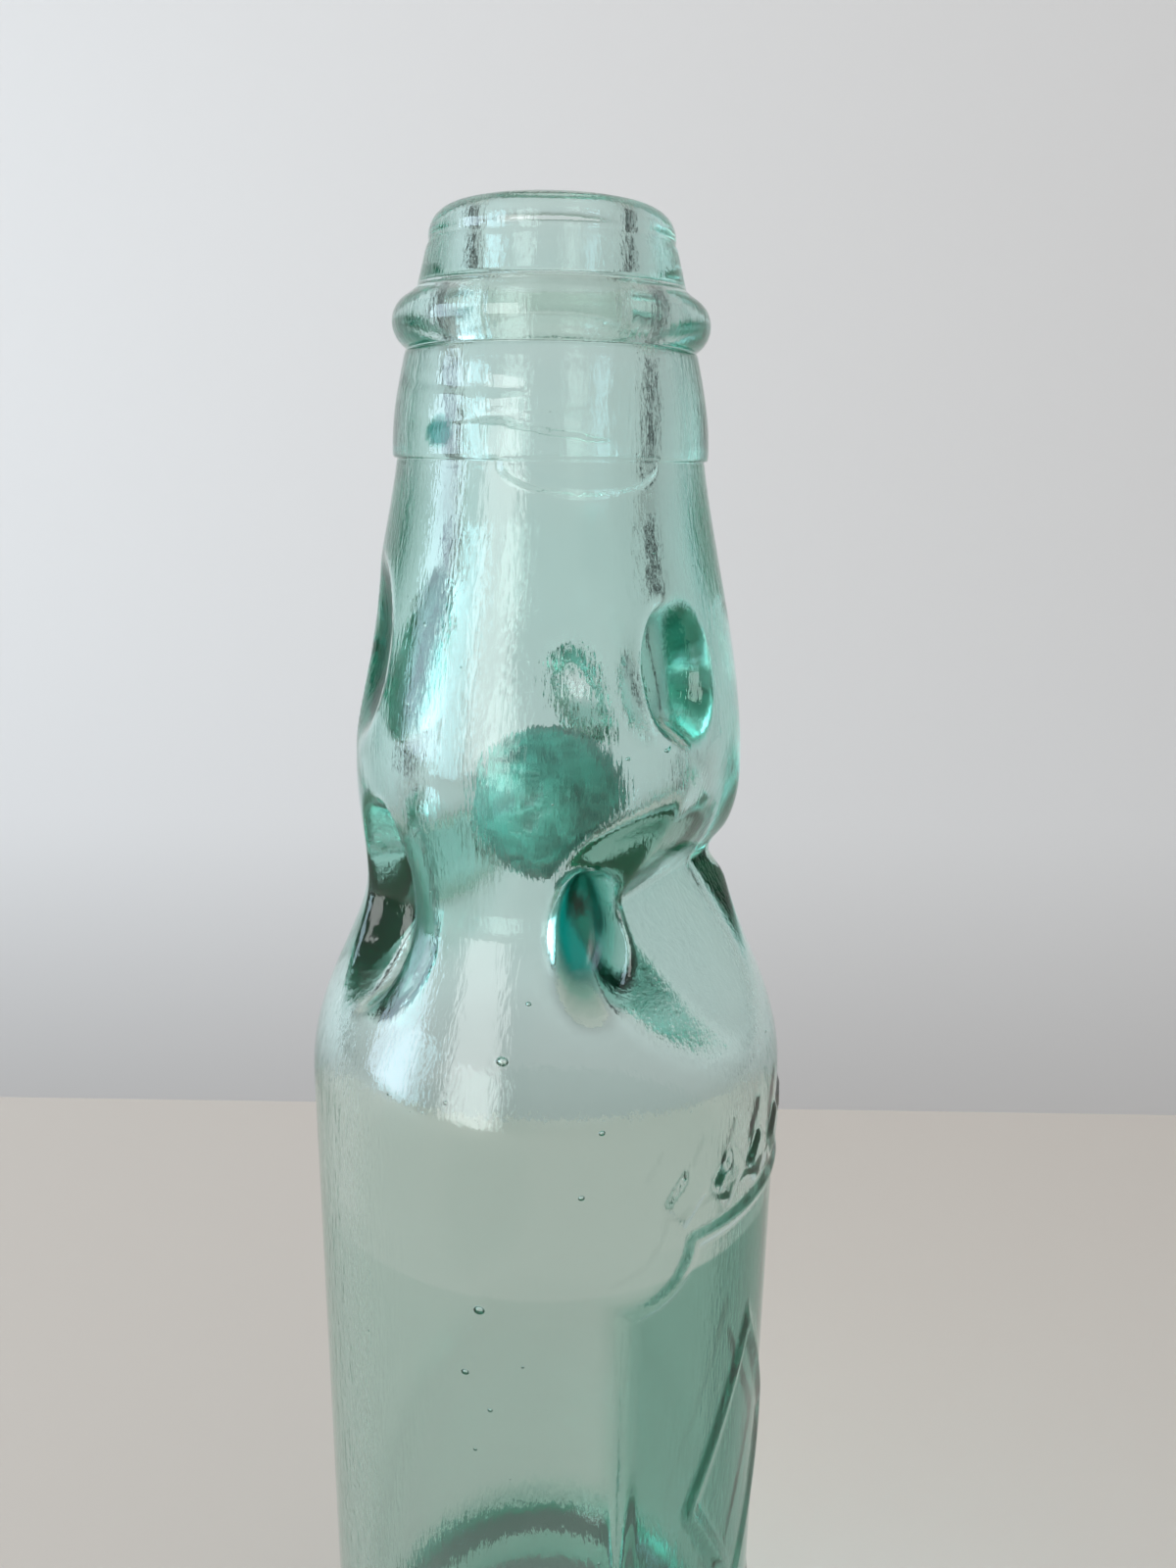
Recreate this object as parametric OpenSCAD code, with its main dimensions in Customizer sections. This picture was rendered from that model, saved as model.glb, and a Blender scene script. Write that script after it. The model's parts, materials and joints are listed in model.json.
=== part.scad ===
// Marble stopper bottle: a blown glass bottle whose glass marble seals against
// a rubber ring under the lip. The bottle stands on the origin, with +Z up and
// its embossed panel towards -Y. All sizes are in millimetres.

/* [Body] */
// Radius of the body below the shoulder
body_r = 31.2; // [29:0.1:34]
// Height of the straight wall above the table
body_h = 121; // [110:1:135]
// Thickness of the body wall
body_wall = 4.2; // [3:0.1:5]
// Radius of the rounded heel
heel_r = 5; // [3:0.5:7]
// Thickness of the glass at the bottom
base_t = 13; // [11:0.5:15]
// Height of the hollow under the bottom
push_up = 5; // [3:0.5:7]
// Radius of the hollow under the bottom
hollow_r = 20; // [15:0.5:22]

/* [Shoulder and waist] */
// Height of the shoulder, from the straight wall up to the waist
shoulder_h = 26.5; // [22:0.5:32]
// Fullness of the shoulder, where a lower value is rounder
shoulder_fullness = 0.85; // [0.7:0.05:1]
// Radius of the waist between the pinches
waist_r = 23.3; // [22.5:0.1:25]
// Thickness of the glass at the waist
waist_wall = 7.8; // [7:0.1:9]

/* [Marble chamber] */
// Height from the waist to the widest place of the chamber
chamber_rise = 13.5; // [12:0.5:16]
// Radius of the chamber at its widest place
chamber_r = 24.2; // [23.5:0.1:25.5]
// Thickness of the glass at the widest place of the chamber
chamber_wall = 7.1; // [6.5:0.1:8.5]

/* [Neck] */
// Height from the widest place of the chamber to the seat of the finish
neck_rise = 37.6; // [34:0.2:44]
// Radius of the neck at the seat of the finish
neck_r = 18.2; // [17.5:0.1:19]
// Radius of the neck's bore
bore_r = 11.2; // [10.9:0.1:12]
// Height of the straight bore below the seat
bore_below = 6; // [4:0.5:10]
// Radius of the neck's tip inside the finish
tip_r = 14; // [13.5:0.1:15]
// Height of the neck's tip above the seat
tip_h = 10.8; // [8:0.1:11]

/* [Pinches] */
// Height of the crease of both grooves above the waist
crease_rise = 2.4; // [1:0.2:4]
// Half thickness of the chamber's round underside at its fullest, from front to back
under_r = 24; // [23.6:0.1:24.8]
// Height of the fullest place of that underside above the waist
under_rise = 22.5; // [20:0.5:25]
// Half height of the oval that the underside follows down to the crease
under_half_h = 28.1; // [27:0.1:30]
// How much further from the axis the back groove lies
back_further = 1.4; // [0:0.1:2.4]
// How far a groove's lower side runs outwards for each millimetre that it drops
lower_run = 0.665; // [0.6:0.005:0.75]
// Radius of the straight round jaw that stands into the waist behind each groove
jaw_tube = 12.5; // [12:0.1:13]
// Distance of the middle of that round from the axis
jaw_path = 21; // [20.7:0.1:21.4]
// How far a jaw's lower side runs outwards for each millimetre that it drops
jaw_run = 1.05; // [0.95:0.01:1.15]
// Softness of the turn from a jaw's face to its lower side
jaw_soft = 4; // [2:0.5:6]

/* [Pits] */
// Thickness of the glass behind the deep and the long pit
pit_wall = 3; // [2.6:0.1:3.6]
// Direction of the deep pit at the left end of the front groove
deep_turn = -136; // [-139:0.5:-133]
// Height of the deep pit below the waist
deep_drop = 2; // [1:0.2:3]
// Half width of the deep pit
deep_half_w = 4.4; // [4:0.1:4.8]
// Half height of the deep pit
deep_half_h = 9.2; // [8.4:0.1:10]
// Distance of the deep pit's floor from the axis
deep_floor = 16.6; // [16.2:0.1:18]
// Direction of the long pit at the left end of the back groove
long_turn = 155; // [151:0.5:159]
// Height of the long pit below the waist
long_drop = 0; // [-1:0.2:1]
// Half width of the long pit
long_half_w = 5.4; // [4.8:0.1:6]
// Half height of the long pit
long_half_h = 12; // [11:0.1:13]
// Distance of the long pit's floor from the axis
long_floor = 17.4; // [16.9:0.1:18.4]
// Height of the small and the wide pit above the waist
pit_rise = 1.5; // [0:0.1:3]
// Direction of the small pit at the right end of the front groove
small_turn = -45; // [-49:0.5:-41]
// Half width of the small pit
small_half_w = 3.2; // [2.8:0.1:3.8]
// Half height of the small pit
small_half_h = 5; // [4.4:0.1:5.6]
// Distance of the small pit's floor from the axis
small_floor = 19.2; // [18.4:0.1:20]
// Direction of the wide pit at the right end of the back groove
wide_turn = 29; // [25:0.5:33]
// Half width of the wide pit
wide_half_w = 4.8; // [4.2:0.1:5.4]
// Half height of the wide pit
wide_half_h = 7; // [6.2:0.1:7.8]
// Distance of the wide pit's floor from the axis
wide_floor = 18.7; // [17.8:0.1:19.6]

/* [Lugs] */
// Direction of the tall lug at the front
tall_turn = -108.5; // [-113:0.5:-104]
// Height of the tall lug above the widest place of the chamber
tall_rise = 15; // [13:0.5:17]
// Lean of the tall lug, in degrees
tall_lean = 7; // [2:1:12]
// Half width of the tall lug's dent
tall_half_w = 4.7; // [4.2:0.1:5.3]
// Half height of the tall lug's dent
tall_half_h = 8; // [7:0.1:9]
// Distance of the floor of the tall lug's dent from the axis
tall_floor = 16; // [15.2:0.1:17]
// Thickness of the glass behind the tall lug's dent
tall_wall = 3; // [2.6:0.1:3.6]
// Direction of the low lug at the right of the back
low_turn = 17; // [13:0.5:21]
// Height of the low lug above the widest place of the chamber
low_rise = 7.5; // [6:0.5:9]
// Lean of the low lug, in degrees
low_lean = -28; // [-33:1:-23]
// Half width of the low lug's dent
low_half_w = 3.6; // [3.2:0.1:4.2]
// Half height of the low lug's dent
low_half_h = 7; // [6.2:0.1:7.8]
// Distance of the floor of the low lug's dent from the axis
low_floor = 17.3; // [16.8:0.1:18.3]
// Thickness of the glass behind the low lug's dent
low_wall = 2; // [1.6:0.1:2.6]
// Direction of the broad dent at the left of the back
broad_turn = 134; // [129:0.5:139]
// Height of the broad dent above the widest place of the chamber
broad_rise = 19; // [17:0.5:21]
// Half width of the egg that the broad dent is pressed with
broad_half_w = 15.4; // [14:0.1:17]
// Half height of the egg that the broad dent is pressed with
broad_half_h = 17; // [15.5:0.1:18.5]
// Distance of the broad dent's floor from the axis
broad_floor = 18.6; // [17.8:0.1:19.4]

/* [Marble] */
// Radius of the marble
marble_r = 10.2; // [9.8:0.1:10.3]
// Clearance between the marble and what it comes to rest on
marble_gap = 0.3; // [0.2:0.1:0.6]

/* [Applied finish] */
// Radius of the collar at its lower edge
collar_r = 18.7; // [18.3:0.1:20]
// Height of the collar
collar_h = 11.8; // [11.2:0.1:14]
// Radius of the crease between the collar and the bead
crease_r = 17; // [16:0.1:17.6]
// Radius of the bead
bead_r = 18.4; // [17.8:0.1:20]
// Height of the bead
bead_h = 6.4; // [6:0.1:7.6]
// Radius of the lip where it leaves the bead
lip_r = 15.6; // [15:0.1:16.2]
// Radius of the lip below its rounded rim
rim_r = 14.1; // [13.8:0.1:14.6]
// Height of the lip
lip_h = 9; // [7.5:0.1:11]
// Radius of the rounded rim
rim_round = 3.2; // [2:0.1:3.3]
// Radius of the lip's bore
mouth_r = 8.3; // [8.2:0.1:8.6]

/* [Sealing ring] */
// Radius of the groove that holds the ring
ring_seat_r = 12.4; // [12.2:0.1:13]
// Glass between the neck's tip and the floor of that groove
ledge_t = 1.8; // [1.2:0.1:2.5]
// Height of the ring
ring_h = 5; // [4.4:0.1:5.2]
// Radius of the ring's hole
ring_hole_r = 7.7; // [7.4:0.1:8]
// Clearance between the ring and its groove
ring_gap = 0.1; // [0.05:0.05:0.2]

/* [Raised relief] */
// Height of the relief above the glass
relief = 0.5; // [0.3:0.1:1]
// Width of the raised lines
line_w = 1.6; // [1:0.1:2.4]
// Half width of the framed panel
panel_half_w = 20.5; // [16:0.5:22]
// Height of the panel's lower edge above the table
panel_z = 26; // [20:1:40]
// Height of the panel
panel_h = 84; // [60:1:84]
// Radius of the hollow corners of the panel
notch_r = 7.5; // [4:0.5:9]
// Number of lozenges in the row above the panel
lozenge_count = 5; // [3:1:7]
// Half width of a lozenge
lozenge_half_w = 2.6; // [2:0.1:3.2]
// Half height of a lozenge
lozenge_half_h = 3.6; // [2.5:0.1:4]
// Half height of the large diamond inside the panel
diamond_half_h = 24; // [14:1:30]
// Half width of the large diamond inside the panel
diamond_half_w = 12; // [8:0.5:14]

/* [Hidden] */
$fn = 96;
// Heights that follow from the sizes above
waist_z = body_h + shoulder_h;
chamber_z = waist_z + chamber_rise;
seat_z = chamber_z + neck_rise;
tip_z = seat_z + tip_h;
ring_z = tip_z + ledge_t;
crease_z = seat_z + collar_h;
lip_z = crease_z + bead_h;
top_z = lip_z + lip_h;
// Turn of the curve that joins the chamber to the neck, in degrees
neck_sweep = 135;
// Steps along each curve of the outline
curve_steps = 9;
// Steps along a small round
round_steps = 5;
// Steps along the round side of a groove, and along the side of a jaw
side_steps = 6;
// Steps from pole to pole of an egg-shaped dent
egg_steps = 13;
// Depth by which cutting bodies pass the faces they cut
past = 1;
// Crease and fullest place of the grooves' round upper side
crease_under_z = waist_z + crease_rise;
under_z = waist_z + under_rise;
// Place of a jaw's face, and how far below the waist its lower side ends
jaw_face = jaw_path - jaw_tube;
jaw_drop = shoulder_h + 4;
// Round from the rim into the bore
mouth_round = 0.65 * rim_round;
// Height of the marble's centre when it lies on the jaws
jaw_reach = marble_r + jaw_tube + marble_gap;
marble_z = waist_z + sqrt(jaw_reach * jaw_reach - jaw_path * jaw_path);
// The ring's rounded nose, and the marble's centre when it meets the nose
nose_r = ring_h / 2;
nose_path = ring_hole_r + nose_r;
nose_reach = marble_r + nose_r + marble_gap;
marble_top_z = ring_z + nose_r - sqrt(nose_reach * nose_reach - nose_path * nose_path);
// Height of the groove, which leaves the ring room to be pressed in
ring_seat_h = ring_h + 0.6;

echo(marble_rest = marble_z, marble_travel = marble_top_z - marble_z, height = top_z);

// How far along a smooth bend from 0 to 1 the share t of the way is
function bend(t, sweep) = (1 - cos(sweep * t)) / (1 - cos(sweep));

// Points of a bend from point a to point b, without a itself
function curve(a, b, sweep = 180, fullness = 1) =
    [for (i = [1:curve_steps])
        let (t = i / curve_steps, s = bend(pow(t, fullness), sweep))
        [a.x + (b.x - a.x) * s, a.y + (b.y - a.y) * t]];

// Points of a shallow dome, from height mid on the axis to height edge at radius r
function dome(r, mid, edge) =
    [for (i = [0:curve_steps])
        let (t = i / curve_steps)
        [r * t, mid + (edge - mid) * bend(t, 180)]];

// Points of a round about centre c, from angle a0 to angle a1
function arc(c, r, a0, a1) =
    [for (i = [0:round_steps])
        let (a = a0 + (a1 - a0) * i / round_steps)
        [c.x + r * cos(a), c.y + r * sin(a)]];

// The same points from last to first
function backwards(points) = [for (i = [len(points) - 1:-1:0]) points[i]];

// Distance of a groove's upper side from the axis at height z
function under_side(z) = under_r * sqrt(1 - pow((under_z - z) / under_half_h, 2));

// Distance of a jaw's lower side from the axis, at a drop below the waist
function jaw_side(drop) = jaw_face + jaw_run * (sqrt(drop * drop + jaw_soft * jaw_soft) - jaw_soft);

// Half outline of the blown glass, as it would be without its dents
function blown_outline() = concat(
    dome(hollow_r, push_up, 0),
    arc([body_r - heel_r, heel_r], heel_r, -90, 0),
    backwards(curve([waist_r, waist_z], [body_r, body_h], 180, shoulder_fullness)),
    [[waist_r, waist_z]],
    curve([waist_r, waist_z], [chamber_r, chamber_z]),
    curve([chamber_r, chamber_z], [neck_r, seat_z], neck_sweep),
    [[tip_r, seat_z], [tip_r, tip_z], [0, tip_z]]);

// Half outline of the hollow inside, as it would be without the jaws and lugs
function hollow_outline() =
    let (
        body_in = body_r - body_wall,
        waist_in = waist_r - waist_wall,
        chamber_in = chamber_r - chamber_wall,
        bore_z = seat_z - bore_below)
    concat(
        dome(hollow_r, base_t + push_up, base_t),
        arc([body_in - heel_r, base_t + heel_r], heel_r, -90, 0),
        backwards(curve([waist_in, waist_z], [body_in, body_h], 180, shoulder_fullness)),
        [[waist_in, waist_z]],
        curve([waist_in, waist_z], [chamber_in, chamber_z]),
        curve([chamber_in, chamber_z], [bore_r, bore_z]),
        [[bore_r, tip_z + past], [0, tip_z + past]]);

// An egg-shaped body whose side nearest the axis is at distance near, at height z
module egg(toward, near, z, half_w, half_h, lean = 0) {
    rotate([0, 0, toward])
        translate([near + half_w, 0, z])
            rotate([lean, 0, 0])
                rotate_extrude()
                    polygon([for (i = [0:egg_steps])
                        let (a = -90 + 180 * i / egg_steps)
                        [half_w * cos(a), half_h * sin(a)]]);
}

// A straight bar along X, whose section has its distance from the axis and its height as points
module cross_bar(section) {
    rotate([90, 0, 90])
        linear_extrude(2 * body_r, center = true)
            polygon(section);
}

// Section of the back groove, moved outwards by further
function groove_section(further) =
    let (far = body_r + 5, crease = under_side(crease_under_z))
    concat(
        [for (i = [0:side_steps])
            let (z = crease_under_z + (under_z - crease_under_z) * i / side_steps)
            [under_side(z) + further, z]],
        [[far + further, under_z],
            [far + further, crease_under_z - (far - crease) / lower_run]]);

// Section of the back jaw, from the top of its round down its face and its lower side
function jaw_section() =
    let (far = jaw_side(jaw_drop) + past)
    concat(
        [for (i = [0:side_steps])
            let (a = 90 + 90 * i / side_steps)
            [jaw_path + jaw_tube * cos(a), waist_z + jaw_tube * sin(a)]],
        [for (i = [1:side_steps])
            let (drop = jaw_drop * i / side_steps)
            [jaw_side(drop), waist_z - drop]],
        [[far, waist_z - jaw_drop], [far, waist_z + jaw_tube]]);

// What presses into the glass from outside: two grooves, their pits and the dents higher up
module presses() {
    mirror([0, 1, 0])
        cross_bar(groove_section(0));
    cross_bar(groove_section(back_further));
    end_pits(0);
    egg(small_turn, small_floor, waist_z + pit_rise, small_half_w, small_half_h);
    egg(wide_turn, wide_floor, waist_z + pit_rise, wide_half_w, wide_half_h);
    lug_dents(0, 0);
    egg(broad_turn, broad_floor, chamber_z + broad_rise, broad_half_w, broad_half_h);
}

// What the presses push into the hollow: two jaws and the glass behind pits and lugs
module bulges() {
    mirror([0, 1, 0])
        cross_bar(jaw_section());
    cross_bar(jaw_section());
    end_pits(pit_wall);
    lug_dents(tall_wall, low_wall);
}

// The deep and the long pit, grown by the thickness of the glass behind them
module end_pits(grow) {
    egg(deep_turn, deep_floor - grow, waist_z - deep_drop, deep_half_w + grow, deep_half_h + grow);
    egg(long_turn, long_floor - grow, waist_z - long_drop, long_half_w + grow, long_half_h + grow);
}

// The dents of the two lugs, grown by the thickness of the glass behind them
module lug_dents(tall_grow, low_grow) {
    egg(tall_turn, tall_floor - tall_grow, chamber_z + tall_rise, tall_half_w + tall_grow,
        tall_half_h + tall_grow, tall_lean);
    egg(low_turn, low_floor - low_grow, chamber_z + low_rise, low_half_w + low_grow,
        low_half_h + low_grow, low_lean);
}

// Outline of the panel, drawn in by inset, with hollow corners
module panel_outline(inset) {
    w = panel_half_w - inset;
    h = panel_h - 2 * inset;
    translate([0, panel_z + inset])
        difference() {
            translate([-w, 0])
                square([2 * w, h]);
            for (x = [-w, w])
                for (y = [0, h])
                    translate([x, y])
                        circle(r = notch_r);
        }
}

// A lozenge about the origin
module lozenge(half_w, half_h) {
    polygon([[-half_w, 0], [0, -half_h], [half_w, 0], [0, half_h]]);
}

// The flat drawing of the relief, before it is wrapped on the front
module relief_drawing() {
    panel_mid = panel_z + panel_h / 2;
    difference() {
        panel_outline(0);
        panel_outline(line_w);
    }
    translate([0, panel_mid])
        difference() {
            lozenge(diamond_half_w, diamond_half_h);
            lozenge(diamond_half_w - line_w, diamond_half_h - line_w * diamond_half_h / diamond_half_w);
        }
    row_step = 2 * panel_half_w / (lozenge_count + 1);
    row_z = (panel_z + panel_h + body_h) / 2;
    for (i = [1:lozenge_count])
        translate([-panel_half_w + i * row_step, row_z])
            lozenge(lozenge_half_w, lozenge_half_h);
}

// The relief, standing out of the front of the body
module raised_relief() {
    intersection() {
        rotate([90, 0, 0])
            linear_extrude(body_r + past)
                relief_drawing();
        difference() {
            cylinder(r = body_r + relief, h = body_h + lozenge_half_h);
            translate([0, 0, -past])
                cylinder(r = body_r - past, h = body_h + lozenge_half_h + 2 * past);
        }
    }
}

// The blown bottle: body, shoulder, pinched waist, marble chamber and the tip of the neck
module glass_body() {
    color("#9fc7b8", 0.6) {
        difference() {
            rotate_extrude()
                polygon(blown_outline());
            presses();
            difference() {
                rotate_extrude()
                    polygon(hollow_outline());
                bulges();
            }
        }
        raised_relief();
    }
}

// The glass laid round the tip of the neck once the marble is in: collar, bead and lip
module applied_finish() {
    rim_z = top_z - rim_round;
    bead_mid = (crease_z + lip_z) / 2;
    edge = 0.6;
    color("#a9d0c2", 0.6)
        rotate_extrude()
            polygon(concat(
                [[tip_r, seat_z], [collar_r - edge, seat_z], [collar_r, seat_z + edge]],
                curve([collar_r, seat_z + edge], [crease_r, crease_z], 90),
                arc([bead_r - bead_h / 2, bead_mid], bead_h / 2, -62, 62),
                [[lip_r, lip_z]],
                arc([rim_r - rim_round, rim_z], rim_round, 0, 90),
                arc([mouth_r + mouth_round, top_z - mouth_round], mouth_round, 90, 180),
                [[mouth_r, ring_z + ring_seat_h], [ring_seat_r, ring_z + ring_seat_h]],
                [[ring_seat_r, ring_z], [bore_r, ring_z], [bore_r, tip_z], [tip_r, tip_z]]));
}

// The rubber ring in its groove, with a round nose that the marble meets
module seal_ring() {
    color("#c9cdbf", 0.8)
        translate([0, 0, ring_z])
            rotate_extrude()
                polygon(concat(
                    [[ring_seat_r - ring_gap, 0], [ring_seat_r - ring_gap, ring_h]],
                    arc([nose_path, nose_r], nose_r, 90, 270)));
}

// The marble, lying on the jaws of the waist
module marble() {
    color("#4f9c86")
        translate([0, 0, marble_z])
            sphere(r = marble_r);
}

glass_body();
applied_finish();
seal_ring();
marble();
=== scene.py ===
# %% [markdown]
# # A marble stopper bottle, blown in blue-green glass
#
# This script dresses a construction model of a drinks bottle whose glass marble seals it
# from inside. The construction model has the walls, dents and jaws in plain colours. Here
# its two glass pieces are worked again as one skin, because light has to pass from the
# neck into the lip without meeting a face between them. The marble and the ring follow.
#
# The shapes are worked out in millimetres and put into the meshes in metres. The bottle
# stands on the origin, +Z is up, and the panel with its raised frame looks towards -Y. An
# angle on the glass is counted in degrees from +X towards +Y.

# %% Load the construction model
import json
import math

import bpy
import numpy as np
from mathutils import Matrix, Vector

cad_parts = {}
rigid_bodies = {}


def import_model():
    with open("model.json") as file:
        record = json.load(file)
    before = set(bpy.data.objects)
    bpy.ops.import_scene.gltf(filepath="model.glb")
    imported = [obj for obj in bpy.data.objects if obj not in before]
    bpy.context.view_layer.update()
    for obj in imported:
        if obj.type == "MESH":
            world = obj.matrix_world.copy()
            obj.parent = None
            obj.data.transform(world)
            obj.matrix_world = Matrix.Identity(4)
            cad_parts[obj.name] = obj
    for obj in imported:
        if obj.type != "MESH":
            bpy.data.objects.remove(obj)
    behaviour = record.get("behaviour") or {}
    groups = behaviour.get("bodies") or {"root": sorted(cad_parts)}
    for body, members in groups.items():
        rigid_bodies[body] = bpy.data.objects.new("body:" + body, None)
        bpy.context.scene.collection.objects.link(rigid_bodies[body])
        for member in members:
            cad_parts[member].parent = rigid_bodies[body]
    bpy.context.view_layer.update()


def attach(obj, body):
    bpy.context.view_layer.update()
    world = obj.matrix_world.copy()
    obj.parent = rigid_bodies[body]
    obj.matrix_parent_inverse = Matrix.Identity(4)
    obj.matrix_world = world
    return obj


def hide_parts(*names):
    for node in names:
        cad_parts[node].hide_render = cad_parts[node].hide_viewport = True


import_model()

MM = 0.001

# %% [markdown]
# ## Sizes and curves
#
# A blown bottle has hardly a straight line: heel, shoulder, waist, chamber and neck flow
# into each other. The outline could be a long list of measured points. Here it is a few
# named radii and heights, joined by one kind of smooth bend, because a reader can then see
# what each number does and change it. The outside and the hollow use the same bends with
# their own radii. The sizes are those of the construction model, in millimetres, apart
# from the round and the rise of the inner floor.

# %% Sizes
# Body: radius, height up to the shoulder, thickness of the wall, round of the heel
BODY_R, BODY_H, WALL, HEEL = 31.2, 121.0, 4.2, 5.0
# Bottom: thickness, rise of its middle, radius of the rise below and inside, round inside
FLOOR, PUSH_UP, HOLLOW_R, FLOOR_R, HEEL_IN = 13.0, 5.0, 20.0, 18.0, 9.0
# Waist and chamber: radius outside, height, radius of the hollow
WAIST_R, WAIST_Z, WAIST_IN = 23.3, 147.5, 15.5
CHAMBER_R, CHAMBER_Z, CHAMBER_IN = 24.2, 161.0, 17.1
# Neck: radius and height of its top, radius and height of the lower end of its bore
NECK_R, SEAT_Z, BORE_R, BORE_Z = 18.2, 198.6, 11.2, 192.6
# Marble: radius and height of its middle. Ring: height of its underside, thickness
MARBLE_R, MARBLE_Z = 10.2, 156.881
RING_Z, RING_H = 211.2, 5.0
# How slowly the shoulder leaves the waist, and how much of its bend the neck has
SHOULDER_FULLNESS, NECK_SWEEP = 0.85, 135
print("height over radius of the body:", round(BODY_H / BODY_R, 2))


# %% Curves
def bend(t, sweep=180.0):
    """How far along a smooth bend the share t is: (1 - cos(sweep t)) / (1 - cos(sweep))."""
    turn = math.radians(sweep)
    return (1 - np.cos(turn * t)) / (1 - math.cos(turn))


def share(z, low, high):
    """The share of the way from height low to height high, kept between 0 and 1."""
    return np.clip((z - low) / (high - low), 0, 1)


def smooth(t):
    """A soft step: t^2 (3 - 2 t), with t kept between 0 and 1."""
    t = np.clip(t, 0, 1)
    return t * t * (3 - 2 * t)


def outer_wall(z):
    """Radius of the outside at height z, from the heel up to the seat of the lip's glass.

    The shoulder leaves the waist slowly: its share of the way down is raised to the power
    0.85 before it is bent. Chamber and neck follow plain bends."""
    shoulder = bend(share(z, WAIST_Z, BODY_H) ** SHOULDER_FULLNESS)
    r = WAIST_R + (BODY_R - WAIST_R) * shoulder
    r = r + (CHAMBER_R - WAIST_R) * bend(share(z, WAIST_Z, CHAMBER_Z))
    return r + (NECK_R - CHAMBER_R) * bend(share(z, CHAMBER_Z, SEAT_Z), NECK_SWEEP)


def inner_wall(z):
    """Radius of the hollow at height z, as the outside but with its own sizes."""
    shoulder = bend(share(z, WAIST_Z, BODY_H) ** SHOULDER_FULLNESS)
    r = WAIST_IN + (BODY_R - WALL - WAIST_IN) * shoulder
    r = r + (CHAMBER_IN - WAIST_IN) * bend(share(z, WAIST_Z, CHAMBER_Z))
    return r + (BORE_R - CHAMBER_IN) * bend(share(z, CHAMBER_Z, BORE_Z))


BELT = np.array([WAIST_Z, CHAMBER_Z, SEAT_Z])
print("radius at waist, chamber and seat:", np.round(outer_wall(BELT), 1), "mm")

# %% [markdown]
# ## Where the glass was pressed in
#
# While the glass was hot, two bars pinched the waist, one from the front and one from the
# back. Outside each left a straight groove with a dent at both of its ends. Inside the
# glass stands into the waist as a straight round jaw, and the marble lies on the two jaws.
# Of three dents higher up, two narrow ones stand into the chamber as lugs, and a broad one
# only flattens the outside.
#
# The dents could be cut with solid bodies or sculpted. Here outside and hollow are two
# fields, each a radius for every direction and height, because a press is then one formula
# and the smaller radius wins. Seen from the axis, an egg whose centre is p away in a
# direction d degrees off is met at
#
# `r = p cos(d) - sqrt(w^2 - (p sin d)^2)`
#
# where w is half its width at that height, and a straight bar whose side is s from the
# axis is met at `r = s / cos(d)`. Pressed glass has no sharp edge, so each field is
# averaged with its neighbours a few times afterwards, the hollow more often because no
# tool touched it.

# %% What pressed the glass
# Each press has its direction, the distance of its nearest side from the axis, its height,
# half width, half height, and its lean in degrees. Deep pit and tall lug are up to 1.3 mm
# smaller than in the construction model, where they showed too large through the glass
DEEP_PIT = (-136.0, 17.0, 146.4, 3.8, 7.9, 0)
LONG_PIT = (155.0, 17.4, 147.5, 5.4, 12.0, 0)
SMALL_PIT = (-45.0, 19.2, 149.0, 3.2, 5.0, 0)
WIDE_PIT = (29.0, 18.7, 149.0, 4.8, 7.0, 0)
TALL_LUG = (-108.0, 16.5, 176.2, 4.0, 7.2, 7)
LOW_LUG = (17.0, 17.3, 168.5, 3.6, 7.0, -28)
BROAD_DENT = (136.5, 18.5, 179.5, 15.6, 17.6, 0)
PRESSES = (DEEP_PIT, LONG_PIT, SMALL_PIT, WIDE_PIT, TALL_LUG, LOW_LUG, BROAD_DENT)
# Presses that reach the hollow, each with the wall of glass that is left in front of it,
# which is 0.6 mm thinner at the pits than in the construction model
WALLED = (DEEP_PIT, 2.4), (LONG_PIT, 2.4), (TALL_LUG, 3.0), (LOW_LUG, 2.0)
# Each groove's direction, and how much shallower it is outside
GROOVES = (-90, 0.0), (90, 1.4)
# Groove: an ellipse that comes in downwards from its top, and a slope that goes out again
GROOVE_FAR, GROOVE_TOP, GROOVE_TALL = 24.0, 170.0, 28.1
GROOVE_NEAR, GROOVE_Z, GROOVE_SLOPE = 16.77, 149.9, 0.665
# Jaw: a round on which the marble lies, and a slope with a rounded nose below it
SEAT_FAR, SEAT_ROUND = 21.0, 12.5
JAW_NEAR, JAW_ROUND, JAW_SLOPE = 8.5, 4.0, 1.05
# Radius that stands for no press, and how often each field is averaged
NO_PRESS = 999.0
OUTSIDE_PASSES, HOLLOW_PASSES, SHADE_PASSES = 6, 14, 2
# The grid of the fields, and the height from which the skin follows them
STEP_A, STEP_Z = 0.75, 0.4
GRID_A, GRID_Z = np.arange(0, 360, STEP_A), np.arange(100.0, 201.0, STEP_Z)
PRESSED_FROM = 105
print("presses:", len(PRESSES), "and grooves:", len(GROOVES))


# %% Fields of the outside and the hollow
def apart(a, b):
    """The angle from b to a in radians, brought between -pi and pi."""
    d = np.radians(a - b)
    return np.arctan2(np.sin(d), np.cos(d))


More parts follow.
